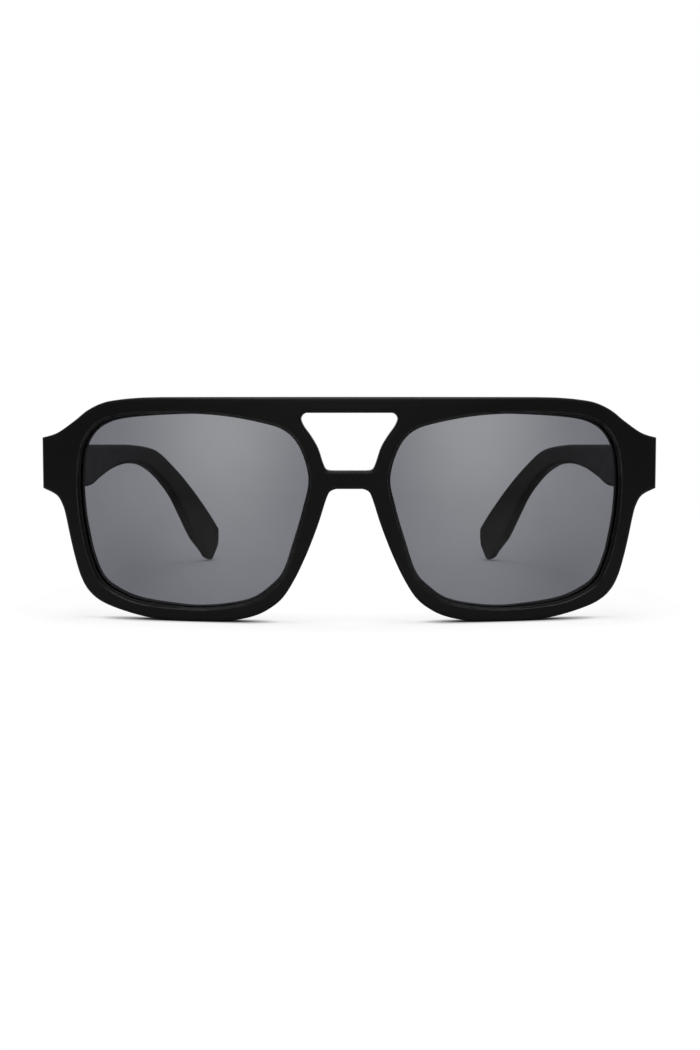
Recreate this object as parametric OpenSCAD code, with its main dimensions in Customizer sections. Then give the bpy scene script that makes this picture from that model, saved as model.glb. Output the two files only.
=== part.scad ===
// Square sunglasses: a moulded front with a double bridge, two tinted lenses,
// and two temples that fold on three-knuckle hinges.
// Millimetres. +Z is up, the front faces -Y, and +X is the wearer's left.
// The origin is on the table under the middle of the open glasses.

/* [Front] */
// How far an end piece reaches past the rim's temple side
endpiece_l = 5.5; // [4.5:0.1:7]
// Thickness of the rims from front to back
rim_t = 5; // [4.4:0.1:5.6]
// Width of the rim above a lens opening
rim_top = 3.6; // [3:0.1:5]
// Width of the rim below a lens opening
rim_bottom = 3; // [2.5:0.1:4]
// Width of the rim at the temple side of a lens opening
rim_side = 3.3; // [2.8:0.1:4.2]
// Width of the rim at the nose side of a lens opening
rim_nose = 4.6; // [3.8:0.1:5.4]
// Radius of the front's curve from side to side
wrap_r = 200; // [170:5:300]
// Radius of the front's curve from top to bottom
rise_r = 300; // [220:10:500]
// Forward lean of the brow when the glasses stand open
lean = 1.5; // [0:0.5:3]
// Radius of the moulded outer edges
edge_r = 0.8; // [0.4:0.1:1.1]
// Size of the fine bevel round a lens opening
bevel = 0.25; // [0.15:0.05:0.4]

/* [Bridge] */
// Width between the two lens openings
bridge_w = 18; // [16:0.5:20]
// Height of the brow bar
bar_h = 3.65; // [3:0.05:4.5]
// Height of the lower bridge
bridge_h = 4.15; // [3.5:0.05:5]
// Height of the lower bridge's top above the middle of the lenses
bridge_rise = 9.55; // [8.5:0.05:10.5]
// How far a nose pad stands behind the rim
pad_depth = 4; // [2:0.5:6]
// Length of a nose pad
pad_l = 20; // [16:1:22]

/* [Lenses] */
// Width of a lens opening
lens_w = 55; // [52:0.5:57]
// Height of a lens opening
lens_h = 45.6; // [43:0.2:48]
// Thickness of a lens
lens_t = 2; // [1.6:0.1:2.2]
// How far a lens reaches into its groove
lens_seat = 0.9; // [0.6:0.1:1.2]
// Depth of a lens's front face behind the rim's front face
lens_set = 1.6; // [1.2:0.1:2]
// Clearance round a lens in its groove
lens_gap = 0.08; // [0.04:0.01:0.15]

/* [Hinges] */
// Height of an end piece and of the temple behind it
endpiece_h = 12; // [11:0.5:13]
// Depth of an end piece at its outer edge
endpiece_t = 5.8; // [5.6:0.1:7]
// Height of the end pieces above the middle of the lenses
endpiece_rise = 10.9; // [10:0.1:12]
// How far the hinges sit below the middle of the end pieces
hinge_low = 0.9; // [0.6:0.1:1.2]
// Height of a hinge over its three knuckles
hinge_h = 6; // [5:0.5:7]
// Radius of a knuckle
knuckle_r = 1.3; // [1.2:0.05:1.4]
// Radius of the hinge screw's shank
screw_r = 0.7; // [0.6:0.05:0.75]
// Thickness of a hinge leaf
leaf_t = 1; // [0.8:0.1:1.2]
// Length of the leaf that is sunk in a temple
leaf_l = 9; // [7:0.5:12]
// Width of the leaf that is sunk in an end piece
leaf_w = 3.6; // [3:0.1:3.8]
// How far that leaf reaches past its knuckles towards the temple
leaf_past = 0.3; // [0.1:0.1:0.5]
// Running clearance inside the hinge
run_gap = 0.05; // [0.03:0.01:0.08]
// Clearance round a leaf in its pocket
fit_gap = 0.05; // [0.02:0.01:0.1]
// Gap between an open temple and its end piece
butt_gap = 0.1; // [0.06:0.01:0.2]

/* [Temples] */
// Thickness of a temple at the hinge
temple_t = 3.9; // [3.5:0.1:4.2]
// Distance from the hinge to the bend over the ear
temple_l = 85; // [80:1:92]
// Height of a temple just before the bend
waist_h = 5.4; // [5:0.1:6.5]
// Width of the paddle at the end of a temple
paddle_w = 12.4; // [11:0.2:13.4]
// How far the paddle reaches behind the bend
tail_l = 41; // [38:0.5:44]
// How far a temple closes in from the hinge to its tip
temple_in = 26.3; // [20:0.1:32]
// How far a temple slopes down between the hinge and the bend
temple_drop = 2.4; // [1.5:0.1:4]
// Radius of a temple's long edges
temple_edge = 1.1; // [0.6:0.1:1.5]
// Radius of the wire core inside a temple
wire_r = 0.7; // [0.5:0.05:0.8]

/* [Hidden] */

// Places on the front, seen from ahead: x from the middle, z from the table
lens_x = (bridge_w + lens_w) / 2;
endpiece_x = lens_x + lens_w / 2 + rim_side;
half_w = endpiece_x + endpiece_l;
lens_z = rim_bottom + lens_h / 2;
top_z = lens_z + lens_h / 2 + rim_top;
arm_z = lens_z + endpiece_rise;
hinge_z = arm_z - hinge_low;
bridge_top = lens_z + bridge_rise;
bridge_bottom = bridge_top - bridge_h;
hole_top = top_z - bar_h;
hole_h = hole_top - bridge_top;

// The curved face of the front: how far a point lies behind the bridge
function sag(p) = p.x * p.x / (2 * wrap_r) + pow(p.y - lens_z, 2) / (2 * rise_r)
  - (p.y - lens_z) * tan(lean);
function place(p, w) = [p.x, sag(p) + w, p.y];

// Small tools for curves
function mix(a, b, t) = a + (b - a) * t;
function unit(v) = v / norm(v);
function left_of(v) = unit([-v.y, v.x]);
function ease(t) = let (s = min(1, max(0, t))) s * s * (3 - 2 * s);
function cubic(a, b, c, d, t) = 0.5 * (2 * b + (c - a) * t
  + (2 * a - 5 * b + 4 * c - d) * t * t + (3 * b - a - 3 * c + d) * t * t * t);
// A smooth curve through the points of p, with n steps from each to the next
function spline(p, n) = let (e = len(p) - 1) [
  for (i = [0:e - 1], k = [0:n - 1])
    cubic(p[max(i - 1, 0)], p[i], p[i + 1], p[min(i + 2, e)], k / n),
  p[e]
];
function closed_spline(p, n) = let (c = len(p)) [
  for (i = [0:c - 1], k = [0:n - 1])
    cubic(p[(i + c - 1) % c], p[i], p[(i + 1) % c], p[(i + 2) % c], k / n)
];

// Small tools for skins: triangles between rows of points
function low(tris, axis) = min([for (t = tris, v = t) v[axis]]);
function high(tris, axis) = max([for (t = tris, v = t) v[axis]]);
function strip(a, b) = [
  for (k = [0:len(a) - 2]) each [[a[k], b[k + 1], b[k]], [a[k], a[k + 1], b[k + 1]]]
];
function skin(rows) = [for (i = [0:len(rows) - 2]) each strip(rows[i], rows[i + 1])];
function flipped(tris) = [for (t = tris) [t[2], t[1], t[0]]];
function mirrored(tris) = [
  for (t = tris) [for (k = [2:-1:0]) [-t[k].x, t[k].y, t[k].z]]
];
function looped(ring) = concat(ring, [ring[0]]);
function reversed(rows) = [for (i = [len(rows) - 1:-1:0]) rows[i]];
function fan_at(c, ring) = let (n = len(ring)) [
  for (k = [0:n - 1]) [c, ring[k], ring[(k + 1) % n]]
];
function fan(ring) = fan_at([for (k = ring) 1] * ring / len(ring), ring);
function closed_skin(rings) = concat(
  skin([for (r = rings) looped(r)]), flipped(fan(rings[0])), fan(rings[len(rings) - 1])
);

module solid(tris) {
  polyhedron(
    points = [for (t = tris) each t],
    faces = [for (i = [0:len(tris) - 1]) [3 * i, 3 * i + 1, 3 * i + 2]],
    convexity = 10
  );
}

// Lens opening, as shares of its half width and half height, from the temple side
// over the top to the nose and back along the bottom
opening_shape = [
  [0.985, 0], [0.996, 0.32], [0.966, 0.62], [0.887, 0.807], [0.756, 0.925],
  [0.553, 0.982], [0.164, 1], [-0.236, 0.982], [-0.589, 0.912], [-0.8, 0.825],
  [-0.93, 0.64], [-1, 0.333], [-0.952, 0.03], [-0.877, -0.294], [-0.785, -0.623],
  [-0.658, -0.798], [-0.491, -0.925], [-0.211, -0.991], [0.073, -1],
  [0.444, -0.961], [0.673, -0.866], [0.822, -0.729], [0.909, -0.496],
  [0.956, -0.246]
];
lens_middle = [lens_x, lens_z];
opening = [for (s = closed_spline(opening_shape, 8)) [s.x * lens_w / 2, s.y * lens_h / 2]];
// The opening as distances from its middle, by angle
function turn(v) = (atan2(v.y, v.x) + 360) % 360;
opening_radii = concat(
  [for (s = opening) [turn(s), norm(s)]],
  [[360, norm(opening[0])]]
);
function ray(angle) = [cos(angle), sin(angle)];
function opening_at(angle) = lens_middle + ray(angle) * lookup((angle + 360) % 360, opening_radii);
function opening_out(angle) = left_of(opening_at(angle - 1.5) - opening_at(angle + 1.5));

// Outline round one half of the front: shares of the rim's half width and height
function on_rim(s) = [
  lens_x + s.x * (lens_w / 2 + (s.x > 0 ? rim_side : rim_nose)),
  lens_z + s.y * (lens_h / 2 + (s.y > 0 ? rim_top : rim_bottom))
];
brow_shape = [[0.21, 1], [0.39, 0.995], [0.552, 0.979], [0.683, 0.951], [0.806, 0.886], [0.916, 0.79]];
rim_shape = [
  [0.993, -0.078], [0.966, -0.241], [0.932, -0.425], [0.887, -0.611],
  [0.824, -0.747], [0.721, -0.846], [0.554, -0.921], [0.342, -0.98], [0.114, -1],
  [-0.109, -1], [-0.3, -0.985], [-0.458, -0.938], [-0.574, -0.862], [-0.663, -0.763],
  [-0.745, -0.6], [-0.817, -0.414], [-0.873, -0.245], [-0.922, -0.078], [-0.963, 0.083]
];
endpiece_top = [half_w, arm_z + endpiece_h / 2];
endpiece_low = [half_w, arm_z - endpiece_h / 2];
bridge_x = bridge_w / 2;
bar_start = [bridge_x * 4 / 3, top_z];
bar_under = [bridge_x * 1.11, hole_top - 0.008 * hole_h];
bridge_over = [bridge_x * 0.41, bridge_top];
bridge_under = [bridge_x / 3, bridge_bottom];
brow_steps = 9;
endpiece_steps = 4;
outer_run = concat(
  [for (k = [0:brow_steps - 1]) mix(bar_start, on_rim(brow_shape[0]), k / brow_steps)],
  spline(concat(
    [for (s = brow_shape) on_rim(s)],
    [endpiece_top + [-0.69 * endpiece_l, 0.096 * endpiece_h], endpiece_top]
  ), 3),
  [for (k = [1:endpiece_steps - 1]) mix(endpiece_top, endpiece_low, k / endpiece_steps)],
  spline(concat(
    [
      endpiece_low,
      endpiece_low - [0.62 * endpiece_l, 0.135 * endpiece_h],
      endpiece_low - [0.9 * endpiece_l, 0.34 * endpiece_h]
    ],
    [for (s = rim_shape) on_rim(s)],
    [[bridge_x * 0.53, bridge_bottom - 0.26 * bridge_h], bridge_under]
  ), 2)
);
hole_run = spline([
  bridge_over,
  [bridge_x * 0.58, bridge_top + 0.02 * hole_h],
  [bridge_x * 0.67, bridge_top + 0.13 * hole_h],
  [bridge_x * 0.8, bridge_top + 0.395 * hole_h],
  [bridge_x * 0.983, bridge_top + 0.61 * hole_h],
  [bridge_x * 1.145, bridge_top + 0.763 * hole_h],
  [bridge_x * 1.225, bridge_top + 0.89 * hole_h],
  bar_under
], 2);

// A rim station: q on the outline, m square to it, and the wall between the faces
up = [0, 1];
down = [0, -1];
function out_of(run, first, last) = let (e = len(run) - 1) [
  for (i = [0:e]) i == 0 ? first : i == e ? last : left_of(run[i + 1] - run[i - 1])
];
// Share of the nose pad that a place on the nose side of the rim carries
pad_z = lens_z - lens_h * 0.165;
function pad(q) = q.x > lens_x - lens_w * 0.25 || q.y > bridge_bottom ? 0
  : pow(cos(90 * min(1, abs(q.y - pad_z) / (pad_l / 2))), 2);
// Share of the thick end piece, whose back is one flat face
function block(q) = q.y < lens_z ? 0 : ease((q.x - endpiece_x) / (0.55 * endpiece_l) + 0.5);
endpiece_y = sag(endpiece_top) + endpiece_t;
function back_w(q) = mix(rim_t + pad_depth * pad(q), endpiece_y - sag(q), block(q));
function wall(q, m) = let (
    w = back_w(q),
    r = edge_r,
    b = q - m * (pad_depth * 0.45 * pad(q))
  ) [
    place(q - m * r, 0),
    place(q - m * r * 0.3, r * 0.3),
    place(q, r),
    place(b, w - r),
    place(b - m * r * 0.3, w - r * 0.3),
    [for (v = [b - m * r]) each place(v, back_w(v))]
  ];

// Inside of a rim station, from the back face through the groove to the front face
groove_front = lens_set - lens_gap;
groove_back = lens_set + lens_t + lens_gap;
groove_depth = lens_seat + lens_gap;
function draft(angle) = 0.05 + 0.04 * max(0, -cos(angle));
function inner(angle) = let (
    p = opening_at(angle),
    n = opening_out(angle),
    d = draft(angle),
    w = max(rim_t, groove_back + 1.6 * bevel)
  ) [
    place(p + n * (bevel - d * w), w),
    place(p - n * d * w, w - bevel),
    place(p - n * d * groove_back, groove_back),
    place(p + n * groove_depth, groove_back),
    place(p + n * groove_depth, groove_front),
    place(p - n * d * groove_front, groove_front),
    place(p, bevel),
    place(p + n * bevel, 0)
  ];
// The back face between the inside edge and the outside edge at b
function back_mid(angle, q) = let (
    p = opening_at(angle),
    v = mix(p, q, mix(0.45, 0.15, block(q)))
  ) place(v, mix(rim_t + 0.75 * pad_depth * pad(q), endpiece_y - sag(v), block(q)));
function station(q, front_edge, back_edge) = let (angle = turn(q - lens_middle))
  concat([back_edge, back_mid(angle, q)], inner(angle), [front_edge]);

outer_walls = let (m = out_of(outer_run, up, down)) [
  for (i = [0:len(outer_run) - 1]) wall(outer_run[i], m[i])
];
hole_walls = let (m = out_of(hole_run, up, down)) [
  for (i = [0:len(hole_run) - 1]) wall(hole_run[i], m[i])
];

// The bars of the bridge run from the rims to the middle plane
cut_steps = 3;
function cut(low, high) = [
  for (k = [0:cut_steps]) mix(low + up * edge_r, high - up * edge_r, k / cut_steps)
];
bar_cut = cut(bar_under, bar_start);
bridge_cut = cut(bridge_under, bridge_over);
function face_station(v) = station(v, place(v, 0), place(v, rim_t));
function to_middle(q, t) = [q.x * (1 - t), q.y];
function tube(low, high, cut, steps) = let (
    places = [for (j = [0:steps]) j / steps],
    front_rows = [for (t = places) [for (v = cut) place(to_middle(v, t), 0)]],
    back_rows = [for (t = places) [for (v = cut) place(to_middle(v, t), rim_t)]],
    low_rows = [for (t = places) wall(to_middle(low, t), down)],
    high_rows = [for (t = places) wall(to_middle(high, t), up)]
  ) concat(
    flipped(skin(front_rows)), skin(back_rows), skin(low_rows), flipped(skin(high_rows))
  );

rim_stations = concat(
  [for (i = [0:len(outer_run) - 1]) station(outer_run[i], outer_walls[i][0], outer_walls[i][5])],
  [for (k = [1:cut_steps - 1]) face_station(bridge_cut[k])],
  [for (i = [0:len(hole_run) - 1]) station(hole_run[i], hole_walls[i][0], hole_walls[i][5])],
  [for (k = [1:cut_steps - 1]) face_station(bar_cut[k])]
);
half_front = concat(
  skin(looped(rim_stations)),
  skin(outer_walls),
  skin(hole_walls),
  tube(bar_under, bar_start, bar_cut, 4),
  tube(bridge_under, bridge_over, bridge_cut, 2)
);

// Lenses
lens_angles = [for (k = [0:59]) k * 6];
lens_rings = [0.25, 0.5, 0.75, 1];
function lens_edge(angle) = opening_at(angle) + opening_out(angle) * lens_seat;
function lens_ring(f, w) = [for (a = lens_angles) place(mix(lens_middle, lens_edge(a), f), w)];
function lens_face(w) = let (rings = [for (f = lens_rings) lens_ring(f, w)]) concat(
  skin([for (r = rings) looped(r)]),
  flipped(fan_at(place(lens_middle, w), rings[0]))
);
left_lens = concat(
  lens_face(lens_set),
  flipped(lens_face(lens_set + lens_t)),
  skin([looped(lens_ring(1, lens_set)), looped(lens_ring(1, lens_set + lens_t))])
);

// Temple of the +X side, as sections from the hinge to the tip. From above it runs
// straight behind its hinge leaf and then closes in along a parabola.
temple_y = endpiece_y + butt_gap;
temple_x = half_w - temple_t / 2;
straight_y = temple_y + leaf_l * 4 / 3;
bend_y = temple_y + temple_l;
bend_z = arm_z - temple_drop;
tip_y = bend_y + tail_l;
tail_pitch = 41;
table_z = low(half_front, 2);
function along(f) = temple_y + f * temple_l;
function behind(f) = bend_y + f * tail_l;
function closing(y) = max(0, y - straight_y) / (tip_y - straight_y);
function plan_x(y) = temple_x - temple_in * pow(closing(y), 2);
function plan_yaw(y) = atan(2 * temple_in * closing(y) / (tip_y - straight_y));
function dropped(f) = arm_z - f * temple_drop;
// A section near the tip: f says where, h and t are its shares of the paddle's width
// and of the temple's thickness, and its lower edge is lift paddle widths off the table
function resting(f, h, lift, t) = [
  behind(f), table_z + paddle_w * (h / 2 * cos(tail_pitch) + lift), paddle_w * h, temple_t * t, tail_pitch
];
// The columns are y, z, height, thickness and pitch down
temple_shape = [
  [temple_y, arm_z, endpiece_h, temple_t, 0],
  [mix(temple_y, straight_y, 0.5), dropped(0.08), endpiece_h, temple_t, 0],
  [straight_y, dropped(0.38), endpiece_h * 0.975, temple_t, 0],
  [along(0.3), dropped(0.9), endpiece_h * 0.915, temple_t * 0.97, 0],
  [along(0.42), dropped(1.04), endpiece_h * 0.925, temple_t * 0.95, 0],
  [along(0.5), dropped(0.9), endpiece_h * 0.83, temple_t * 0.95, 0],
  [along(0.57), dropped(0.64), waist_h * 1.56, temple_t * 0.92, 0],
  [along(0.64), dropped(0.4), waist_h * 1.28, temple_t * 0.9, 0],
  [along(0.72), dropped(0.23), waist_h * 1.075, temple_t * 0.87, 0],
  [along(0.81), dropped(0.25), waist_h, temple_t * 0.85, 3],
  [along(0.92), dropped(0.46), waist_h * 1.02, temple_t * 0.82, 9],
  [bend_y, bend_z, waist_h * 1.15, temple_t * 0.82, 17],
  [behind(0.12), bend_z * 0.95, waist_h * 1.22, temple_t * 0.8, 25],
  [behind(0.26), bend_z * 0.863, waist_h * 1.35, temple_t * 0.8, 32],
  [behind(0.43), bend_z * 0.724, waist_h * 1.47, temple_t * 0.77, 38],
  [behind(0.6), bend_z * 0.544, paddle_w * 0.84, temple_t * 0.77, tail_pitch],
  [behind(0.75), bend_z * 0.384, paddle_w * 0.95, temple_t * 0.75, tail_pitch],
  [behind(0.84), bend_z * 0.296, paddle_w * 0.975, temple_t * 0.75, tail_pitch],
  resting(0.91, 0.94, 0.17, 0.72),
  resting(0.955, 0.8, 0.05, 0.67),
  resting(0.985, 0.45, 0, 0.56)
];
temple_steps = 2;
temple_places = spline(temple_shape, temple_steps);
corners = [[1, 1, 0], [-1, 1, 90], [-1, -1, 180], [1, -1, 270]];
function section(s, ring) = let (
    yaw = plan_yaw(s[0]),
    pitch = s[4],
    out = [cos(yaw), sin(yaw), 0],
    back = [-sin(yaw) * cos(pitch), cos(yaw) * cos(pitch), -sin(pitch)],
    rise = cross(out, back),
    c = [plan_x(s[0]), s[0], s[1]]
  ) [for (v = ring) c + out * v.x + rise * v.y];
function rounded_bar(t, h, r) = [
  for (c = corners, k = [0:2])
    [c.x * (t / 2 - r) + r * cos(c.z + 45 * k), c.y * (h / 2 - r) + r * sin(c.z + 45 * k)]
];
function temple_ring(s) = section(s, rounded_bar(s[3], s[2], min(temple_edge, s[3] * 0.45)));

// The wire core lies in a channel from the temple's front end to a blind end in the paddle
core_places = [for (k = [0:temple_steps * 15]) temple_places[k]];
function round_ring(s, r) = section(s, [for (k = [0:11]) r * ray(30 * k + 15)]);
function core_rings(r) = [for (s = core_places) round_ring(s, r)];
left_temple = closed_skin(concat(
  reversed(core_rings(wire_r + fit_gap)),
  [for (s = temple_places) temple_ring(s)]
));
left_wire = closed_skin(core_rings(wire_r));

// Hinge of the +X side: the front's leaf has the two outer knuckles, the temple's leaf
// has the middle one, and a screw is the pin
temple_face = half_w - temple_t;
hinge_x = temple_face - knuckle_r - 2 * run_gap;
hinge_y = endpiece_y + knuckle_r + 2 * run_gap;
middle_h = hinge_h / 2 - run_gap;
outer_h = hinge_h / 4 - run_gap / 2;
front_leaf_x = hinge_x + knuckle_r + leaf_past - leaf_w;
head_r = knuckle_r * 0.88;
head_h = 0.6;
slot_w = 0.35;
slot_depth = 0.3;

module at_hinge(z) translate([hinge_x, hinge_y, hinge_z + z]) children();
module bore() at_hinge(-hinge_h) cylinder(r = screw_r + run_gap, h = 2 * hinge_h, $fn = 48);
module front_plate(gap, back) {
  translate([front_leaf_x - gap, endpiece_y - leaf_t, hinge_z - hinge_h / 2 - gap])
    cube([leaf_w + 2 * gap, leaf_t + back, hinge_h + 2 * gap]);
}
module temple_plate(gap, past) {
  translate([temple_face - past, temple_y - past, hinge_z - hinge_h / 2 - gap])
    cube([leaf_t + past, hinge_y + leaf_l - temple_y + gap + past, hinge_h + 2 * gap]);
}
module outer_knuckle() {
  cylinder(r = knuckle_r, h = outer_h, $fn = 64);
  translate([-knuckle_r, endpiece_y - leaf_t - hinge_y, 0])
    cube([2 * knuckle_r, hinge_y - endpiece_y + leaf_t, outer_h]);
}

// Everything is built with the bridge's face at y = 0 and then set over the origin
middle_y = (low(half_front, 1) + high(left_temple, 1)) / 2;
floor_z = min(table_z, low(left_temple, 2));
module placed() translate([0, -middle_y, -floor_z]) children();
module other_side() mirror([1, 0, 0]) children();

module front() {
  color("#1c1c1c") placed() difference() {
    solid(concat(half_front, mirrored(half_front)));
    front_plate(fit_gap, rim_t);
    other_side() front_plate(fit_gap, rim_t);
  }
}
module lens_left() color("#7c7d82") placed() solid(left_lens);
module lens_right() other_side() lens_left();

module temple_left() {
  color("#1c1c1c") placed() difference() {
    solid(left_temple);
    temple_plate(fit_gap, temple_t);
  }
}
module temple_right() other_side() temple_left();
module core_wire_left() color("#8f9092") placed() solid(left_wire);
module core_wire_right() other_side() core_wire_left();

module hinge_front_leaf_left() {
  color("#a9abae") placed() difference() {
    union() {
      front_plate(0, 0);
      at_hinge(hinge_h / 2 - outer_h) outer_knuckle();
      at_hinge(-hinge_h / 2) outer_knuckle();
    }
    bore();
  }
}
module hinge_front_leaf_right() other_side() hinge_front_leaf_left();

module hinge_temple_leaf_left() {
  color("#a9abae") placed() difference() {
    union() {
      temple_plate(0, 0);
      at_hinge(-middle_h / 2) cylinder(r = knuckle_r, h = middle_h, $fn = 64);
      translate([hinge_x, hinge_y - knuckle_r, hinge_z - middle_h / 2])
        cube([temple_face + leaf_t - hinge_x, 2 * knuckle_r, middle_h]);
    }
    bore();
  }
}
module hinge_temple_leaf_right() other_side() hinge_temple_leaf_left();

module hinge_screw_left() {
  color("#c2c4c6") placed() difference() {
    union() {
      at_hinge(-hinge_h / 2) cylinder(r = screw_r, h = hinge_h + head_h / 2, $fn = 48);
      at_hinge(hinge_h / 2) cylinder(r = head_r, h = head_h / 2, $fn = 48);
      at_hinge(hinge_h / 2 + head_h / 2)
        cylinder(r1 = head_r, r2 = head_r - head_h / 2, h = head_h / 2, $fn = 48);
    }
    at_hinge(hinge_h / 2 + head_h) cube([2 * knuckle_r, slot_w, 2 * slot_depth], center = true);
  }
}
module hinge_screw_right() other_side() hinge_screw_left();

front();
lens_right();
lens_left();
temple_right();
temple_left();
core_wire_right();
core_wire_left();
hinge_front_leaf_right();
hinge_front_leaf_left();
hinge_temple_leaf_right();
hinge_temple_leaf_left();
hinge_screw_right();
hinge_screw_left();
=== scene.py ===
"""Square sunglasses with a double bridge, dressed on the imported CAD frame.

The front, the lenses and the temples are finer meshes made by the rules of the CAD part.
Some forms follow the photo more closely than the CAD's do: the temple's sections and
rounded tip, the corners of the bridge hole, the arch below the bridge, and the slope of
the wall inside each opening. Hinge leaves, screws and wires stay the CAD's own.

In the geometry q is a point of an outline seen from ahead, m the way out from the
outline, n the way out from a lens opening, and w the depth behind the curved face. It is
written in millimetres in the part's own frame, and piece() brings it to the shared one.
"""
import math

import bmesh
import bpy
import numpy as np
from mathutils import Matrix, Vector


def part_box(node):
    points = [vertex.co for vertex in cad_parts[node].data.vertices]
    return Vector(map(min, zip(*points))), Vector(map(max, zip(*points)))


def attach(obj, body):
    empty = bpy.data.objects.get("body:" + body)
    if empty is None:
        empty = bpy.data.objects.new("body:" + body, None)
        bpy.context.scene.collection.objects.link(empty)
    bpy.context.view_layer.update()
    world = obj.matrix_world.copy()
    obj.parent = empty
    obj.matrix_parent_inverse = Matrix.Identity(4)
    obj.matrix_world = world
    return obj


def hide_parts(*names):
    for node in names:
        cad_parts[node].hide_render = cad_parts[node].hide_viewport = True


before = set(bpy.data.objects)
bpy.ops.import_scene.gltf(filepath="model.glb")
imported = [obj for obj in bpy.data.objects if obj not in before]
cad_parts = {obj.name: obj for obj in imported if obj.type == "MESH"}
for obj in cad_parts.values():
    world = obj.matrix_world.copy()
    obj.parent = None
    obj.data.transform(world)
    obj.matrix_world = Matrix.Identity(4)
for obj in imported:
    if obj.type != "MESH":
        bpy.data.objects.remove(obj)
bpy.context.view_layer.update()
MM = 0.001

# Sizes of the part, as in its source: the front
ENDPIECE_L = 5.5
RIM_T = 5.0
RIM_TOP = 3.6
RIM_BOTTOM = 3.0
RIM_SIDE = 3.3
RIM_NOSE = 4.6
WRAP_R = 200.0
RISE_R = 300.0
LEAN = 1.5
EDGE_R = 0.8
BEVEL = 0.25
# The bridge and the nose pads
BRIDGE_W = 18.0
BAR_H = 3.65
BRIDGE_H = 4.15
BRIDGE_RISE = 9.55
PAD_DEPTH = 4.0
PAD_L = 20.0
# The lenses
LENS_W = 55.0
LENS_H = 45.6
LENS_T = 2.0
LENS_SEAT = 0.9
LENS_SET = 1.6
LENS_GAP = 0.08
# The end pieces and hinges
ENDPIECE_H = 12.0
ENDPIECE_T = 5.8
ENDPIECE_RISE = 10.9
HINGE_LOW = 0.9
HINGE_H = 6.0
KNUCKLE_R = 1.3
LEAF_T = 1.0
LEAF_L = 9.0
LEAF_W = 3.6
LEAF_PAST = 0.3
RUN_GAP = 0.05
FIT_GAP = 0.05
BUTT_GAP = 0.1
# The temples
TEMPLE_T = 3.9
TEMPLE_L = 85.0
WAIST_H = 5.4
PADDLE_W = 12.4
TAIL_L = 41.0
TAIL_PITCH = 41.0
TEMPLE_IN = 26.3
TEMPLE_DROP = 2.4
TEMPLE_EDGE = 1.1
WIRE_R = 0.7

# Places that follow from the sizes
LENS_X = (BRIDGE_W + LENS_W) / 2
ENDPIECE_X = LENS_X + LENS_W / 2 + RIM_SIDE
HALF_W = ENDPIECE_X + ENDPIECE_L
LENS_Z = RIM_BOTTOM + LENS_H / 2
TOP_Z = LENS_Z + LENS_H / 2 + RIM_TOP
ARM_Z = LENS_Z + ENDPIECE_RISE
HINGE_Z = ARM_Z - HINGE_LOW
BRIDGE_TOP = LENS_Z + BRIDGE_RISE
BRIDGE_BOTTOM = BRIDGE_TOP - BRIDGE_H
HOLE_TOP = TOP_Z - BAR_H
HOLE_H = HOLE_TOP - BRIDGE_TOP
PAD_Z = LENS_Z - LENS_H * 0.165
GROOVE_FRONT = LENS_SET - LENS_GAP
GROOVE_BACK = LENS_SET + LENS_T + LENS_GAP
GROOVE_DEPTH = LENS_SEAT + LENS_GAP
MIDDLE = np.array([LENS_X, LENS_Z])
UP = np.array([0.0, 1.0])
DOWN = np.array([0.0, -1.0])

# How fine the skins are
EDGE_STEPS = 7
BEVEL_STEPS = 4
BAR_CUTS = 5
QUARTERS = (0.25, 0.5, 0.75)

# How far a nose pad's back edge leans in, as a share of the pad's depth
PAD_LEAN = 0.45
# The slope of the wall inside an opening: all round, and more on three of its sides
DRAFT = 0.05
DRAFT_OUTER = 0.2
DRAFT_NOSE = 0.04
DRAFT_BELOW = 0.07


# Curves
def mix(a, b, t):
    return a + (b - a) * t


def ease(t):
    t = min(1.0, max(0.0, t))
    return t * t * (3 - 2 * t)


def cubic(a, b, c, d, t):
    """The smooth curve from b to c, with a before them and d after."""
    return 0.5 * (2 * b + (c - a) * t + (2 * a - 5 * b + 4 * c - d) * t * t
                  + (3 * b - a - 3 * c + d) * t ** 3)


def spline(points, steps):
    points = np.array(points, float)
    last = len(points) - 1
    rows = [cubic(points[max(i - 1, 0)], points[i], points[i + 1], points[min(i + 2, last)], k / steps)
            for i in range(last) for k in range(steps)]
    return rows + [points[last]]


def closed_spline(points, steps):
    points = np.array(points, float)
    n = len(points)
    return [cubic(points[i - 1], points[i], points[(i + 1) % n], points[(i + 2) % n], k / steps)
            for i in range(n) for k in range(steps)]


def arc(steps):
    """Sines and cosines over a quarter turn."""
    turns = [math.pi / 2 * k / steps for k in range(steps + 1)]
    return [(math.sin(turn), math.cos(turn)) for turn in turns]


def left_of(v):
    return np.array([-v[1], v[0]]) / np.hypot(*v)


def out_of(run, first, last):
    """The ways out along a run of points, those of its two ends given."""
    return [first] + [left_of(run[i + 1] - run[i - 1]) for i in range(1, len(run) - 1)] + [last]


# The curved face of the front
def sag(p):
    rise = p[1] - LENS_Z
    return p[0] ** 2 / (2 * WRAP_R) + rise ** 2 / (2 * RISE_R) - rise * math.tan(math.radians(LEAN))


def place(p, w):
    return (p[0], sag(p) + w, p[1])


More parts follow.
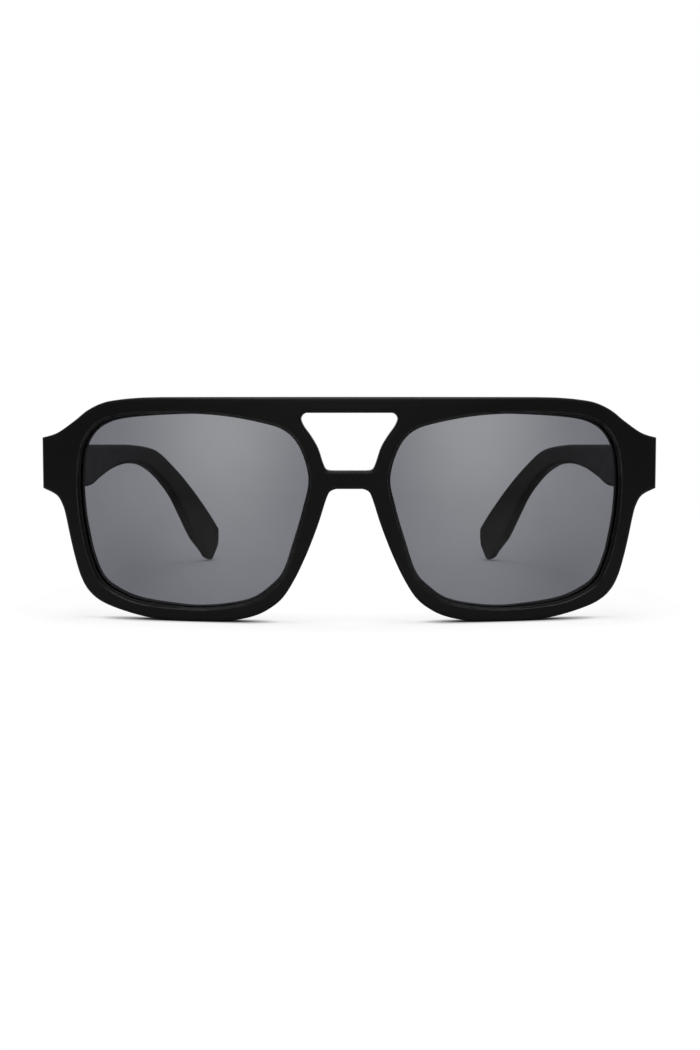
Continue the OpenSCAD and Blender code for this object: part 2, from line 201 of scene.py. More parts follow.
# The lens opening, in half widths and half heights from its middle
OPENING_SHAPE = [
    (0.985, 0), (0.996, 0.32), (0.966, 0.62), (0.887, 0.807), (0.756, 0.925),
    (0.553, 0.982), (0.164, 1), (-0.236, 0.982), (-0.589, 0.912), (-0.8, 0.825),
    (-0.93, 0.64), (-1, 0.333), (-0.952, 0.03), (-0.877, -0.294), (-0.785, -0.623),
    (-0.658, -0.798), (-0.491, -0.925), (-0.211, -0.991), (0.073, -1),
    (0.444, -0.961), (0.673, -0.866), (0.822, -0.729), (0.909, -0.496),
    (0.956, -0.246),
]
opening = [s * (LENS_W / 2, LENS_H / 2) for s in closed_spline(OPENING_SHAPE, 12)]
opening_turn = [math.degrees(math.atan2(s[1], s[0])) % 360 for s in opening] + [360.0]
opening_reach = [float(np.hypot(*s)) for s in opening] + [float(np.hypot(*opening[0]))]


def opening_at(angle):
    reach = np.interp(angle % 360, opening_turn, opening_reach)
    return MIDDLE + reach * np.array([math.cos(math.radians(angle)), math.sin(math.radians(angle))])


def opening_out(angle):
    return left_of(opening_at(angle - 1.5) - opening_at(angle + 1.5))


# The outline of half the front, its rim in half widths and half heights from the lens's middle
BROW_SHAPE = [(0.21, 1), (0.39, 0.995), (0.552, 0.979), (0.683, 0.951), (0.806, 0.886), (0.916, 0.79)]
RIM_SHAPE = [
    (0.993, -0.078), (0.966, -0.241), (0.932, -0.425), (0.887, -0.611),
    (0.824, -0.747), (0.721, -0.846), (0.554, -0.921), (0.342, -0.98), (0.114, -1),
    (-0.109, -1), (-0.3, -0.985), (-0.458, -0.938), (-0.574, -0.862), (-0.663, -0.763),
    (-0.745, -0.6), (-0.817, -0.414), (-0.873, -0.245), (-0.922, -0.078), (-0.963, 0.083),
]
end_top = np.array([HALF_W, ARM_Z + ENDPIECE_H / 2])
end_low = np.array([HALF_W, ARM_Z - ENDPIECE_H / 2])
endpiece_y = sag(end_top) + ENDPIECE_T
bridge_x = BRIDGE_W / 2
bar_start = np.array([bridge_x * 4 / 3, TOP_Z])
bar_under = np.array([bridge_x * 1.1, HOLE_TOP])
bridge_over = np.array([bridge_x * 0.41, BRIDGE_TOP])
bridge_under = np.array([bridge_x / 3, BRIDGE_BOTTOM])


def on_rim(s):
    return (LENS_X + s[0] * (LENS_W / 2 + (RIM_SIDE if s[0] > 0 else RIM_NOSE)),
            LENS_Z + s[1] * (LENS_H / 2 + (RIM_TOP if s[1] > 0 else RIM_BOTTOM)))


def outline(bar_steps, brow_steps, end_steps, rim_steps):
    """From the brow bar's root over the end piece and round the rim to the lower bridge."""
    shoulder = end_top + (-0.69 * ENDPIECE_L, 0.096 * ENDPIECE_H)
    neck = [end_low - (0.62 * ENDPIECE_L, 0.135 * ENDPIECE_H),
            end_low - (0.9 * ENDPIECE_L, 0.34 * ENDPIECE_H)]
    arch = [(bridge_x * 0.53, BRIDGE_BOTTOM - 0.26 * BRIDGE_H),
            (bridge_x * 0.45, BRIDGE_BOTTOM - 0.09 * BRIDGE_H)]
    brow_root = np.array(on_rim(BROW_SHAPE[0]))
    brow = spline([on_rim(s) for s in BROW_SHAPE] + [shoulder, end_top], brow_steps)
    rim = spline([end_low, *neck] + [on_rim(s) for s in RIM_SHAPE] + [*arch, bridge_under], rim_steps)
    return ([mix(bar_start, brow_root, k / bar_steps) for k in range(bar_steps)]
            + brow + [mix(end_top, end_low, k / end_steps) for k in range(1, end_steps)] + rim)


outer_run = outline(22, 9, 8, 7)
# The table is where the CAD's coarser rim touches it
table_z = min(float(p[1]) for p in outline(9, 3, 4, 2))

# The bridge hole, from the lower bridge up to the brow bar
HOLE_STEPS = 6
HOLE_SHAPE = [
    (0.58, 0.02), (0.67, 0.13), (0.8, 0.395), (0.983, 0.61),
    (1.145, 0.763), (1.225, 0.89), (1.182, 0.968),
]
hole_points = [(bridge_x * x, BRIDGE_TOP + HOLE_H * z) for x, z in HOLE_SHAPE]
hole_run = spline([bridge_over, *hole_points, bar_under], HOLE_STEPS)
# The last stretch, the hole's upper corner, belongs to the brow bar
HOLE_TURN = len(HOLE_SHAPE) * HOLE_STEPS


# Nose pads and thick end pieces
def pad(q):
    """1 at the middle of a nose pad's length, falling to 0 at its ends."""
    if q[0] > LENS_X - LENS_W * 0.25 or q[1] > BRIDGE_BOTTOM:
        return 0.0
    return math.cos(math.pi / 2 * min(1.0, abs(q[1] - PAD_Z) / (PAD_L / 2))) ** 2


def block(q):
    """0 on the rim, rising to 1 on an end piece."""
    return 0.0 if q[1] < LENS_Z else ease((q[0] - ENDPIECE_X) / (0.55 * ENDPIECE_L) + 0.5)


def back_w(q, at):
    """The depth of the back at a place of the station that starts at q."""
    return mix(RIM_T + PAD_DEPTH * pad(q), endpiece_y - sag(at), block(q))


def edge(q, m):
    """Where the rolled front edge meets the face."""
    return q - m * EDGE_R


def leaned(q, m):
    """A point of the outline at the back, moved in where a nose pad leans."""
    return q - m * (PAD_DEPTH * PAD_LEAN * pad(q))


def wall(q, m):
    """The outside of a rim station, from its front edge round to its back edge."""
    w = back_w(q, q)
    b = leaned(q, m)
    end = edge(b, m)
    rows = [place(q - m * EDGE_R * (1 - s), EDGE_R * (1 - c)) for s, c in arc(EDGE_STEPS)]
    rows += [place(mix(q, b, t), mix(EDGE_R, w - EDGE_R, t)) for t in QUARTERS]
    rows += [place(b - m * EDGE_R * (1 - s), w - EDGE_R * (1 - c))
             for s, c in reversed(arc(EDGE_STEPS)[1:])]
    return rows + [place(end, back_w(q, end))]


# The rim's stations, which go round an opening
def draft(angle):
    across = math.cos(math.radians(angle))
    up = math.sin(math.radians(angle))
    return DRAFT + (DRAFT_OUTER if across > 0 else DRAFT_NOSE) * abs(across) + DRAFT_BELOW * max(0.0, -up)


def inner(angle):
    """The inside of a rim station, from the back face through the groove to the front."""
    p = opening_at(angle)
    n = opening_out(angle)
    d = draft(angle)
    rows = [place(p + n * (BEVEL * (1 - s) - d * RIM_T), RIM_T - BEVEL * (1 - c))
            for s, c in arc(BEVEL_STEPS)]
    rows += [place(p - n * d * GROOVE_BACK, GROOVE_BACK), place(p + n * GROOVE_DEPTH, GROOVE_BACK)]
    rows += [place(p + n * GROOVE_DEPTH, GROOVE_FRONT), place(p - n * d * GROOVE_FRONT, GROOVE_FRONT)]
    return rows + [place(p, BEVEL), place(p + n * BEVEL, 0)]


def back_face(angle, q, outside):
    """The back face from the outside edge in to the opening, with the pad or end piece on it."""
    share = block(q)
    knee = mix(0.45, 0.15, share)
    start = opening_at(angle) + opening_out(angle) * (BEVEL - draft(angle) * RIM_T)
    rows = []
    for t in (1, 0.82, 0.64, 0.46, 0.3, 0.15, 0.09, 0.04):
        t = t if t > 0.15 or share == 0 else t * knee / 0.15
        v = mix(start, outside, t)
        swell = PAD_DEPTH * pad(q) * (1 - (1 - t) ** 2.3)
        rows.append(place(v, mix(RIM_T + swell, endpiece_y - sag(v), share * ease(t / knee))))
    return rows


def station(q, front_edge, back_edge, angle):
    """One row over the back face, the groove and the front face of a rim."""
    start = opening_at(angle) + opening_out(angle) * BEVEL
    face = [place(mix(start, front_edge, t), 0) for t in QUARTERS]
    return back_face(angle, q, back_edge) + inner(angle) + face + [place(front_edge, 0)]


# Skins
def grid(mesh, rows):
    """Adds the skin between rows of as many points each."""
    made = [[mesh.verts.new(p) for p in row] for row in rows]
    for a, b in zip(made, made[1:]):
        for k in range(len(a) - 1):
            mesh.faces.new((a[k], a[k + 1], b[k + 1], b[k]))


def looped(ring):
    return list(ring) + [ring[0]]


def closed(rings):
    """A skin round rings of points, closed at both ends."""
    mesh = bmesh.new()
    made = [[mesh.verts.new(p) for p in ring] for ring in rings]
    for a, b in zip(made, made[1:]):
        for k in range(len(a)):
            mesh.faces.new((a[k], a[(k + 1) % len(a)], b[(k + 1) % len(a)], b[k]))
    mesh.faces.new(made[0])
    mesh.faces.new(made[-1])
    return mesh


# The front
def within(q, m):
    """The way out, turned so that the way in doesn't cross itself at the corners of an end piece."""
    inside = edge(q, m)
    if abs(q[0] - HALF_W) < 0.001 and min(abs(q[1] - end_top[1]), abs(q[1] - end_low[1])) < 0.001:
        inside[1] = q[1] - math.copysign(EDGE_R, q[1] - ARM_Z)
    inside[0] = min(inside[0], HALF_W - EDGE_R)
    return (q - inside) / EDGE_R


def to_middle(q, m, steps):
    return [(np.array([q[0] * (1 - j / steps), q[1]]), m) for j in range(steps + 1)]


def bar(lows, high):
    """A bar's lower side, its upper side and the columns between, from its root in to the middle."""
    tops = [(np.array([high[0] * q[0] / lows[0][0][0], high[1]]), UP) for q, m in lows]
    columns = [[mix(edge(*a), edge(*b), k / BAR_CUTS) for k in range(BAR_CUTS + 1)]
               for a, b in zip(lows, tops)]
    return lows, tops, columns


def front_mesh():
    outer = [(q, within(q, m)) for q, m in zip(outer_run, out_of(outer_run, UP, DOWN))]
    hole = list(zip(hole_run, out_of(hole_run, UP, DOWN)))
    nose_side = hole[:HOLE_TURN + 1]
    *brow_sides, brow_columns = bar(hole[HOLE_TURN:] + to_middle(bar_under, DOWN, 10)[1:], bar_start)
    *low_sides, low_columns = bar(to_middle(bridge_under, DOWN, 5), bridge_over)

    stops = []
    for side, columns in ((outer, low_columns), (nose_side, brow_columns)):
        stops += [(q, edge(q, m), edge(leaned(q, m), m)) for q, m in side]
        stops += [(v, v, v) for v in columns[0][1:-1]]
    # The rows go round the opening one way only, also where the outline turns back a little
    turns = np.minimum.accumulate(np.unwrap([math.atan2(*(q - MIDDLE)[::-1]) for q, _, _ in stops]))
    rows = [station(*stop, math.degrees(turn) % 360) for stop, turn in zip(stops, turns)]

    mesh = bmesh.new()
    grid(mesh, looped(rows))
    for side in (outer, nose_side, *brow_sides, *low_sides):
        grid(mesh, [wall(q, m) for q, m in side])
    for columns in (brow_columns, low_columns):
        for w in (0, RIM_T):
            grid(mesh, [[place(v, w) for v in column] for column in columns])
    copy = bmesh.ops.duplicate(mesh, geom=list(mesh.verts) + list(mesh.edges) + list(mesh.faces))
    for v in (g for g in copy["geom"] if isinstance(g, bmesh.types.BMVert)):
        v.co.x = -v.co.x
    return mesh


# The lenses
def lens_mesh():
    angles = [k * 2.5 for k in range(144)]
    mesh = bmesh.new()

    rim = [opening_at(angle) + opening_out(angle) * LENS_SEAT for angle in angles]

    def ring(share, w):
        return looped([place(mix(MIDDLE, p, share), w) for p in rim])

    for w in (LENS_SET, LENS_SET + LENS_T):
        grid(mesh, [ring(share / 10, w) for share in range(1, 11)])
        hub = mesh.verts.new(place(MIDDLE, w))
        spokes = [mesh.verts.new(p) for p in ring(0.1, w)[:-1]]
        for k in range(len(spokes)):
            mesh.faces.new((hub, spokes[k], spokes[(k + 1) % len(spokes)]))
    grid(mesh, [ring(1, LENS_SET), ring(1, LENS_SET + LENS_T)])
    return mesh


# The temples
temple_y = endpiece_y + BUTT_GAP
temple_x = HALF_W - TEMPLE_T / 2
temple_face = HALF_W - TEMPLE_T
hinge_x = temple_face - KNUCKLE_R - 2 * RUN_GAP
hinge_y = endpiece_y + KNUCKLE_R + 2 * RUN_GAP
straight_y = temple_y + LEAF_L * 4 / 3
bend_y = temple_y + TEMPLE_L
bend_z = ARM_Z - TEMPLE_DROP
tip_y = bend_y + TAIL_L


def closing(y):
    """The share of the temple's turn inwards, from the end of its straight stretch to the tip."""
    return max(0.0, y - straight_y) / (tip_y - straight_y)


def along(f):
    return temple_y + f * TEMPLE_L


def behind(f):
    return bend_y + f * TAIL_L


def dropped(f):
    return ARM_Z - f * TEMPLE_DROP


def resting(f, h, lift, t):
    """A section near the tip, its lower edge lift paddle widths off the table."""
    rise = PADDLE_W * (h / 2 * math.cos(math.radians(TAIL_PITCH)) + lift)
    return behind(f), table_z + rise, PADDLE_W * h, TEMPLE_T * t, TAIL_PITCH


# The columns are y, z, height, thickness and pitch down
TEMPLE_SHAPE = [
    (temple_y, ARM_Z, ENDPIECE_H, TEMPLE_T, 0),
    (mix(temple_y, straight_y, 0.5), dropped(0.08), ENDPIECE_H, TEMPLE_T, 0),
    (straight_y, dropped(0.38), ENDPIECE_H * 0.975, TEMPLE_T, 0),
    (along(0.3), dropped(0.84), ENDPIECE_H * 0.9, TEMPLE_T * 0.97, 0),
    (along(0.42), dropped(0.88), ENDPIECE_H * 0.895, TEMPLE_T * 0.95, 0),
    (along(0.5), dropped(0.62), ENDPIECE_H * 0.771, TEMPLE_T * 0.95, 0),
    (along(0.57), dropped(0.43), WAIST_H * 1.476, TEMPLE_T * 0.92, 0),
    (along(0.64), dropped(0.24), WAIST_H * 1.267, TEMPLE_T * 0.9, 0),
    (along(0.72), dropped(0.12), WAIST_H * 1.089, TEMPLE_T * 0.87, 0),
    (along(0.81), dropped(0.11), WAIST_H, TEMPLE_T * 0.85, 3),
    (along(0.92), dropped(0.4), WAIST_H * 1.01, TEMPLE_T * 0.82, 9),
    (bend_y, dropped(0.955), WAIST_H * 1.177, TEMPLE_T * 0.82, 17),
    (behind(0.12), bend_z * 0.953, WAIST_H * 1.272, TEMPLE_T * 0.8, 25),
    (behind(0.26), bend_z * 0.865, WAIST_H * 1.34, TEMPLE_T * 0.8, 32),
    (behind(0.43), bend_z * 0.732, WAIST_H * 1.546, TEMPLE_T * 0.77, 38),
    (behind(0.6), bend_z * 0.554, PADDLE_W * 0.843, TEMPLE_T * 0.77, TAIL_PITCH),
    (behind(0.75), bend_z * 0.377, PADDLE_W * 0.98, TEMPLE_T * 0.75, TAIL_PITCH),
    (behind(0.84), bend_z * 0.284, PADDLE_W * 0.962, TEMPLE_T * 0.75, TAIL_PITCH),
    resting(0.91, 0.94, 0.22, 0.72),
    resting(0.946, 0.92, 0.09, 0.67),
    resting(0.978, 0.5, 0, 0.56),
]
BUTT_ROUND = 0.2
TIP_ROUND = 0.35
# The wire's channel ends at this section of the coarse shape
CHANNEL_SECTIONS = 31


def section(s, ring):
    """A ring of points square to the temple at a place along it."""
    yaw = math.atan(2 * TEMPLE_IN * closing(s[0]) / (tip_y - straight_y))
    pitch = math.radians(s[4])
    out = np.array([math.cos(yaw), math.sin(yaw), 0])
    back = np.array([-math.sin(yaw) * math.cos(pitch), math.cos(yaw) * math.cos(pitch), -math.sin(pitch)])
    rise = np.cross(out, back)
    middle = np.array([temple_x - TEMPLE_IN * closing(s[0]) ** 2, s[0], s[1]])
    return [middle + out * v[0] + rise * v[1] for v in ring]


def rounded_bar(t, h, r):
    """A ring round a bar's section, with points along its two long sides too."""
    ring = []
    for x, y, start in ((1, 1, 0), (-1, 1, 90), (-1, -1, 180), (1, -1, 270)):
        if start == 180:
            ring += [(-t / 2, mix(h / 2 - r, r - h / 2, k)) for k in QUARTERS]
        for k in range(9):
            a = math.radians(start + 90 * k / 8)
            ring.append((x * (t / 2 - r) + r * math.cos(a), y * (h / 2 - r) + r * math.sin(a)))
    return ring + [(t / 2, mix(r - h / 2, h / 2 - r, k)) for k in QUARTERS]


def temple_ring(s, trim=0.0):
    corner = min(TEMPLE_EDGE, s[3] * 0.45) - trim * 0.5
    return section(s, rounded_bar(s[3] - 2 * trim, s[2] - 2 * trim, corner))


def temple_mesh():
    """From the channel's blind end out to the hinge's end, and over the outside to the tip."""
    shape = spline(TEMPLE_SHAPE, 6)
    coarse = spline(TEMPLE_SHAPE, 2)[:CHANNEL_SECTIONS]
    full = rounded_bar(TEMPLE_T, ENDPIECE_H, TEMPLE_EDGE)
    channel = [(WIRE_R + FIT_GAP) / np.hypot(*v) * np.array(v) for v in full]
    rings = [section(s, channel) for s in reversed(coarse)]
    for s, c in arc(3):
        start = shape[0].copy()
        start[0] += BUTT_ROUND * (1 - c)
        rings.append(temple_ring(start, BUTT_ROUND * (1 - s)))
    tip = shape[-1][0]
    rings += [temple_ring(s) for s in shape[1:] if s[0] < tip - TIP_ROUND]
    columns = np.array(shape).T
    for s, c in arc(5):
        y = tip - TIP_ROUND * (1 - s)
        cut = [np.interp(y, columns[0], column) for column in columns]
        rings.append(temple_ring(cut, TIP_ROUND * (1 - c)))
    return closed(rings)


# Building the pieces, moved from the part's own frame to the shared one
screw_low, screw_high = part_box("hinge_screw_left")
screw_y = (screw_low.y + screw_high.y) / 2 / MM
screw_foot = screw_low.z / MM
SHIFT = np.array([0, screw_y - hinge_y, screw_foot - (HINGE_Z - HINGE_H / 2)])
SHARP = math.radians(38)


def add_object(name, data):
    obj = bpy.data.objects.new(name, data)
    bpy.context.scene.collection.objects.link(obj)
    return obj


def pocket(low, high, side):
    """A box that cuts a leaf's pocket."""
    low = (np.array(low) + SHIFT) * MM
    high = (np.array(high) + SHIFT) * MM
    mesh = bmesh.new()
    bmesh.ops.create_cube(mesh, size=1)
    for v in mesh.verts:
        x, y, z = (mix(low[k], high[k], v.co[k] + 0.5) for k in range(3))
        v.co = (side * x, y, z)
    bmesh.ops.recalc_face_normals(mesh, faces=mesh.faces)
    data = bpy.data.meshes.new("pocket")
    mesh.to_mesh(data)
    mesh.free()
    return add_object("pocket", data)


def front_pocket(side):
    x = hinge_x + KNUCKLE_R + LEAF_PAST - LEAF_W
    return pocket([x - FIT_GAP, endpiece_y - LEAF_T, HINGE_Z - HINGE_H / 2 - FIT_GAP],
                  [x + LEAF_W + FIT_GAP, endpiece_y + RIM_T, HINGE_Z + HINGE_H / 2 + FIT_GAP], side)


def temple_pocket(side):
    return pocket([temple_face - TEMPLE_T, temple_y - TEMPLE_T, HINGE_Z - HINGE_H / 2 - FIT_GAP],
                  [temple_face + LEAF_T, hinge_y + LEAF_L + FIT_GAP, HINGE_Z + HINGE_H / 2 + FIT_GAP], side)


def cut_pockets(obj, boxes):
    for box in boxes:
        cut = obj.modifiers.new("pocket", "BOOLEAN")
        cut.object, cut.operation, cut.solver = box, "DIFFERENCE", "EXACT"
    bpy.context.view_layer.update()
    graph = bpy.context.evaluated_depsgraph_get()
    whole = bpy.data.meshes.new_from_object(obj.evaluated_get(graph))
    obj.modifiers.clear()
    obj.data = whole
    for box in boxes:
        bpy.data.objects.remove(box)


def piece(name, mesh, node, body, boxes=(), side=1):
    """Turns a mesh in the part's own millimetres into a piece in the shared frame."""
    low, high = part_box(node)
    bmesh.ops.remove_doubles(mesh, verts=mesh.verts, dist=0.0005)
    for v in mesh.verts:
        at = (np.array(v.co) + SHIFT) * MM
        at[0] *= side
        v.co = np.clip(at, low, high)
    bmesh.ops.recalc_face_normals(mesh, faces=mesh.faces)
    if mesh.calc_volume(signed=True) < 0:
        bmesh.ops.reverse_faces(mesh, faces=mesh.faces)
    data = bpy.data.meshes.new(name)
    mesh.to_mesh(data)
    mesh.free()
    obj = add_object(name, data)
    if boxes:
        cut_pockets(obj, boxes)
    obj.data.shade_smooth()
    obj.data.set_sharp_from_angle(angle=SHARP)
    smooth = obj.modifiers.new("normals", "WEIGHTED_NORMAL")
    smooth.keep_sharp = True
    smooth.weight = 80
    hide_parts(node)
    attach(obj, body)
    return obj


front_boxes = [front_pocket(1), front_pocket(-1)]
front = piece("moulded_front", front_mesh(), "front", "front", front_boxes)
lenses = []
temples = []
for word, side in (("left", 1), ("right", -1)):
    lens = piece("tinted_lens_" + word, lens_mesh(), "lens_" + word, "front", side=side)
    lenses.append(lens)
    node, box = "temple_" + word, temple_pocket(side)
    temple = piece("moulded_temple_" + word, temple_mesh(), node, node, [box], side)
    temples.append(temple)


# Materials
WHITE = (1, 1, 1, 1)


def grey(level):
    return (level, level, level, 1)


class Nodes:
    """A short way to write the nodes of a material or a world."""

    def __init__(self, owner, shader="Principled BSDF", place="Object"):
        owner.use_nodes = True
        self.owner = owner
        self.tree = owner.node_tree
        self.shader = self.tree.nodes[shader]
        self.place = self.add("ShaderNodeTexCoord").outputs[place]

    def add(self, kind, inputs=None, **settings):
        node = self.tree.nodes.new(kind)
        for key, value in settings.items():
            setattr(node, key, value)
        for key, value in (inputs or {}).items():
            self.put(node.inputs[key], value)
        return node

    def put(self, socket, value):
        if isinstance(value, bpy.types.NodeSocket):
            self.tree.links.new(value, socket)
        else:
            socket.default_value = value

    def surface(self, node):
        self.put(self.tree.nodes["Material Output"].inputs["Surface"], node.outputs[0])

    def noise(self, scale, detail=3.0, at=None):
        found = self.add("ShaderNodeTexNoise", {"Vector": at or self.place, "Scale": scale, "Detail": detail,
                                                "Roughness": 0.55})
        return found.outputs["Fac"]

    def spread(self, value, low, high, start=0.3, end=0.7):
        """Low where the value is at its start and high where it is at its end."""
        found = self.add("ShaderNodeMapRange", {"Value": value, "From Min": start, "From Max": end,
                                                "To Min": low, "To Max": high})
        return found.outputs["Result"]

    def blend(self, share, a, b, kind="MIX"):
        found = self.add("ShaderNodeMix", data_type="RGBA", blend_type=kind)
        self.put(found.inputs["Factor"], share)
        self.put(found.inputs[6], a)
        self.put(found.inputs[7], b)
        return found.outputs[2]

    def maths(self, operation, a, b=0.5):
        found = self.add("ShaderNodeMath", operation=operation)
        self.put(found.inputs[0], a)
        self.put(found.inputs[1], b)
        return found.outputs[0]

    def times(self, a, b):
        return self.maths("MULTIPLY", a, b)

    def glow(self, strength):
        return self.add("ShaderNodeEmission", {"Color": WHITE, "Strength": strength}).outputs[0]

    def edges(self, radius):
        """A mask that is 1 along rounded edges and 0 on broad faces."""
        round_normal = self.add("ShaderNodeBevel", {"Radius": radius}, samples=6).outputs["Normal"]
        plain = self.add("ShaderNodeNewGeometry").outputs["Normal"]
        same = self.add("ShaderNodeVectorMath", {0: round_normal, 1: plain}, operation="DOT_PRODUCT")
        return self.spread(same.outputs["Value"], 1.0, 0.0, 0.86, 0.995)

    def bump(self, height, distance, strength):
        found = self.add("ShaderNodeBump", {"Height": height, "Distance": distance, "Strength": strength})
        self.put(self.shader.inputs["Normal"], found.outputs["Normal"])


def black_plastic():
    m = Nodes(bpy.data.materials.new("black_plastic"))
    cloud = m.spread(m.noise(90, 4), 0, 1)
    # Along the inner bevels and other fine edges the colour turns light grey, broken up by noise: a painted
    # highlight line. The same mask also lowers the roughness there.
    edge_wear_and_highlight = m.times(m.edges(0.0004), m.spread(m.noise(420), 0.1, 0.9))
    colour = m.blend(cloud, grey(0.0072), (0.0092, 0.0092, 0.0091, 1))
    m.put(m.shader.inputs["Base Color"], m.blend(edge_wear_and_highlight, colour, (0.15, 0.15, 0.147, 1)))
    haze = m.spread(m.noise(260, 4), 0.33, 0.41)
    m.put(m.shader.inputs["Roughness"], m.maths("SUBTRACT", haze, m.times(edge_wear_and_highlight, 0.12)))
    grain = m.maths("ADD", m.times(m.noise(9000, 2), 0.7), m.times(m.noise(1600, 2), 0.6))
    m.bump(grain, 0.00001, 0.5)
    m.shader.inputs["Specular IOR Level"].default_value = 0.25
    return m.owner


# The tint is lighter in spots, which are painted light: the large spot high towards the bridge is a painted
# reflection of a softbox, the one at the outer middle a painted lighter patch and the one at the outer
# bottom painted shade. The columns: metres from the middle plane and off the table, reach sideways and
# upwards, and how much lighter
LENS_LIGHT = 0.251
PAINTED_LENS_SPOTS = [
    (0.029, 0.046, 0.0183, 0.0259, 0.749),
    (0.055, 0.031, 0.012, 0.01, 0.13),
    (0.051, 0.01, 0.012, 0.011, -0.15),
]


def lens_tint():
    m = Nodes(bpy.data.materials.new("grey_tint"))
    at = m.add("ShaderNodeSeparateXYZ", {"Vector": m.place}).outputs
    out = m.maths("ABSOLUTE", at["X"])
    light = LENS_LIGHT
    for x, z, wide, tall, strength in PAINTED_LENS_SPOTS:
        across = m.maths("DIVIDE", m.maths("SUBTRACT", out, x), wide)
        height = m.maths("DIVIDE", m.maths("SUBTRACT", at["Z"], z), tall)
        off = m.maths("ADD", m.times(across, across), m.times(height, height))
        light = m.maths("ADD", light, m.times(m.maths("EXPONENT", m.times(off, -1.0)), strength))
    # The painted reflection and shade move the tint between its darker and its lighter colour
    colour = m.blend(light, (0.112, 0.117, 0.136, 1), (0.308, 0.312, 0.332, 1))
    haze = m.spread(m.noise(160), 0.985, 1.015)
    haze_colour = m.add("ShaderNodeCombineColor", {"Red": haze, "Green": haze, "Blue": haze}).outputs[0]
    m.put(m.shader.inputs["Base Color"], m.blend(1.0, colour, haze_colour, "MULTIPLY"))
    m.put(m.shader.inputs["Roughness"], m.spread(m.noise(300), 0.004, 0.01))
    m.shader.inputs["Transmission Weight"].default_value = 1.0
    m.shader.inputs["IOR"].default_value = 1.45
    m.bump(m.noise(120, 2), 0.000002, 0.15)
    # Shadows are let through, tinted
    shadow = m.add("ShaderNodeLightPath").outputs["Is Shadow Ray"]
    clear = m.add("ShaderNodeBsdfTransparent", {"Color": (0.62, 0.62, 0.64, 1)})
    m.surface(m.add("ShaderNodeMixShader", {0: shadow, 1: m.shader.outputs[0], 2: clear.outputs[0]}))
    return m.owner


def metal(name, colour, roughness, streak):
    m = Nodes(bpy.data.materials.new(name))
    stretched = m.add("ShaderNodeMapping", {"Vector": m.place, "Scale": streak}).outputs["Vector"]
    lines = m.noise(2600, at=stretched)
    tone = m.spread(m.noise(500), 0, 1)
    dark = [c * 0.84 for c in colour] + [1]
    light = [c * 1.16 for c in colour] + [1]
    # Lighter along the edges, broken up by noise.
    edge_wear_and_highlight = m.times(m.edges(0.00015), m.spread(m.noise(900, 2), 0.2, 1))
    m.put(m.shader.inputs["Base Color"], m.blend(edge_wear_and_highlight, m.blend(tone, dark, (*colour, 1)), light))
    m.shader.inputs["Metallic"].default_value = 1.0
    m.put(m.shader.inputs["Roughness"], m.spread(lines, roughness - 0.07, roughness + 0.09))
    m.bump(lines, 0.000008, 0.5)
    return m.owner


plastic = black_plastic()
tint = lens_tint()
metals = {
    "leaf": metal("brushed_steel", (0.56, 0.565, 0.57), 0.32, (1, 1, 0.06)),
    "screw": metal("polished_steel", (0.68, 0.685, 0.69), 0.18, (1, 1, 1)),
    "wire": metal("wire_steel", (0.5, 0.505, 0.51), 0.3, (1, 0.05, 1)),
}
for obj in [front, *temples]:
    obj.data.materials.append(plastic)
for obj in lenses:
    obj.data.materials.append(tint)


def soften(obj):
    """Rounds the edges of a CAD part of the hinge a little."""
    weld = obj.modifiers.new("weld", "WELD")
    weld.merge_threshold = 0.000001
    soft = obj.modifiers.new("soft_edges", "BEVEL")
    soft.width, soft.segments, soft.limit_method = 0.00006, 2, "ANGLE"
    soft.angle_limit = math.radians(40)
    soft.harden_normals = True


for name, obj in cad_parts.items():
    kind = next((word for word in metals if word in name), None)
    for slot in obj.material_slots:
        slot.material = metals.get(kind, plastic)
    if kind in ("leaf", "screw"):
        soften(obj)

# Studio: a white floor that keeps the shadow, with a painted contact shadow where something touches it, a
# white backdrop and soft lamps. The camera and clear surfaces see white, gloss sees a dark room, and
# everything else sees the lit room.
FLOOR_LIT = 0.45
FLOOR_GLOW = 0.7
FLOOR_REACH = 6.0
ROOM_LIGHT = 0.3
ROOM_GLOSS = 0.1
BACK_GLOSS = 0.7


def seen_by(m):
    """1 where the camera looks straight or through a lens, and 1 for what comes by way of gloss."""
    path = m.add("ShaderNodeLightPath").outputs
    through = path["Is Transmission Ray"]
    shone = m.maths("MINIMUM", path["Glossy Depth"], 1.0)
    straight = m.times(through, m.maths("SUBTRACT", 1.0, shone))
    mirrored = m.times(path["Is Glossy Ray"], m.maths("SUBTRACT", 1.0, through))
    seen = m.maths("MAXIMUM", path["Is Camera Ray"], straight)
    return seen, m.maths("MAXIMUM", mirrored, m.times(through, shone))


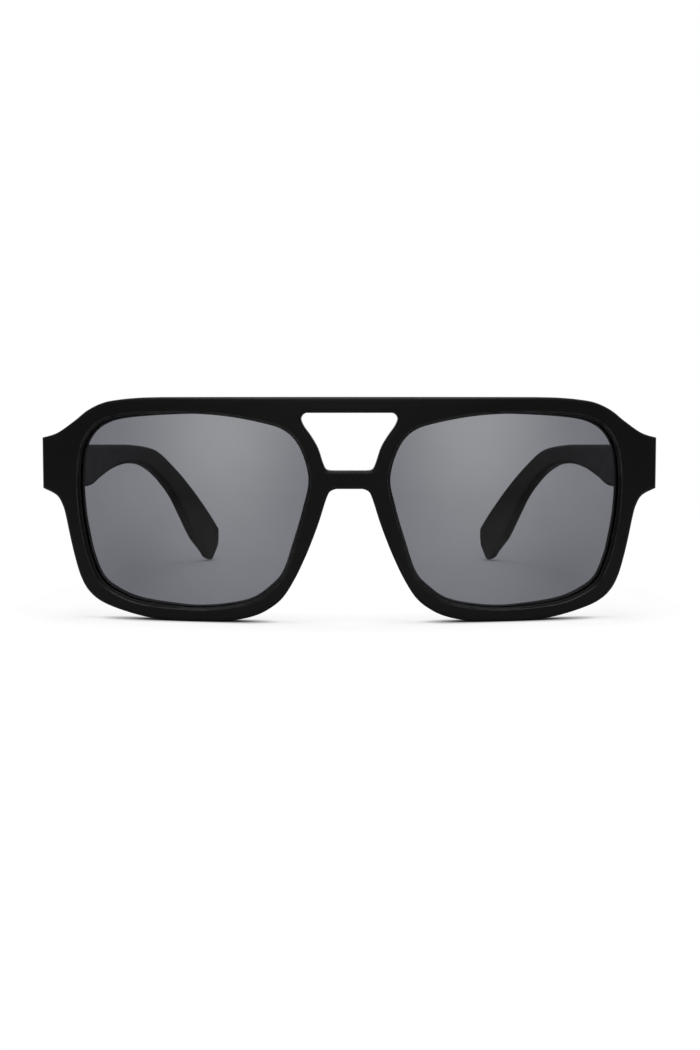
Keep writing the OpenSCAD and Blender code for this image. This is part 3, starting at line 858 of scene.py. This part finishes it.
def floor_material():
    m = Nodes(bpy.data.materials.new("studio_floor"))
    seen, gloss = seen_by(m)
    speck = m.spread(m.noise(30), 0.0, 1.0)
    m.put(m.shader.inputs["Base Color"], m.blend(speck, grey(FLOOR_LIT), grey(FLOOR_LIT + 0.006)))
    m.shader.inputs["Roughness"].default_value = 0.9
    m.shader.inputs["Specular IOR Level"].default_value = 0.0
    # Near the glasses: the lit floor, with a glow that ambient occlusion dims where something touches it, a
    # painted contact shadow
    occlusion_for_painted_shadow = m.add("ShaderNodeAmbientOcclusion", {"Distance": 0.0045}, samples=16).outputs["AO"]
    glow_with_painted_shadow = m.times(m.times(seen, m.spread(occlusion_for_painted_shadow, 0.0, 1.0, 0.1, 0.8)), FLOOR_GLOW)
    near = m.add("ShaderNodeAddShader", {0: m.shader.outputs[0], 1: m.glow(glow_with_painted_shadow)})
    # Far from them: plain white, and for gloss lighter towards the back
    depth = m.add("ShaderNodeSeparateXYZ", {"Vector": m.place}).outputs["Y"]
    sheen = m.times(gloss, m.spread(depth, ROOM_GLOSS, BACK_GLOSS, 0.05, 0.25))
    white = m.glow(m.maths("ADD", seen, sheen))
    distance = m.add("ShaderNodeVectorMath", {0: m.place}, operation="LENGTH").outputs["Value"]
    far = m.times(m.spread(distance, 0.0, 1.0, 0.13, 0.4), m.maths("MAXIMUM", seen, gloss))
    m.surface(m.add("ShaderNodeMixShader", {0: far, 1: near.outputs[0], 2: white}))
    return m.owner


def studio_floor():
    corners = [(x * FLOOR_REACH, y * FLOOR_REACH, 0) for x, y in ((-1, -1), (1, -1), (1, 1), (-1, 1))]
    data = bpy.data.meshes.new("studio_floor")
    data.from_pydata(corners, [], [(0, 1, 2, 3)])
    data.materials.append(floor_material())
    add_object("studio_floor", data)


def studio_room():
    world = bpy.data.worlds.new("studio")
    bpy.context.scene.world = world
    m = Nodes(world, "Background", "Generated")
    seen, gloss = seen_by(m)
    m.shader.inputs["Color"].default_value = WHITE
    way = m.add("ShaderNodeSeparateXYZ", {"Vector": m.place}).outputs["Y"]
    sheen = m.times(gloss, m.spread(way, ROOM_GLOSS, BACK_GLOSS, 0.3, 0.9))
    rest = m.times(m.maths("SUBTRACT", 1.0, m.maths("MAXIMUM", seen, gloss)), ROOM_LIGHT)
    m.put(m.shader.inputs["Strength"], m.maths("ADD", seen, m.maths("ADD", sheen, rest)))


def lamp(name, at, aim, size, power):
    data = bpy.data.lights.new(name, "AREA")
    data.shape, data.size, data.size_y, data.energy = "RECTANGLE", size[0], size[1], power
    obj = add_object(name, data)
    obj.location = at
    obj.rotation_euler = (Vector(aim) - Vector(at)).to_track_quat("-Z", "Y").to_euler()


def photo_camera():
    """The photo's camera: its height, distance and tilt were fitted to the outline and the table."""
    data = bpy.data.cameras.new("camera")
    data.lens = 48.9
    data.sensor_width = 36
    data.shift_x = 0.0006
    data.clip_start = 0.01
    camera = add_object("camera", data)
    camera.location = (0, -0.3982, 0.0496)
    camera.rotation_euler = (math.radians(90 - 4.668), 0, 0)
    bpy.context.scene.camera = camera


studio_floor()
studio_room()
lamp("top_light", (0, -0.05, 0.9), (0, 0, 0), (0.6, 0.6), 4)
lamp("front_light", (-0.08, -1.15, 0.7), (0, 0, 0.03), (0.9, 0.7), 1.8)
photo_camera()
bpy.context.scene.view_settings.view_transform = "Standard"
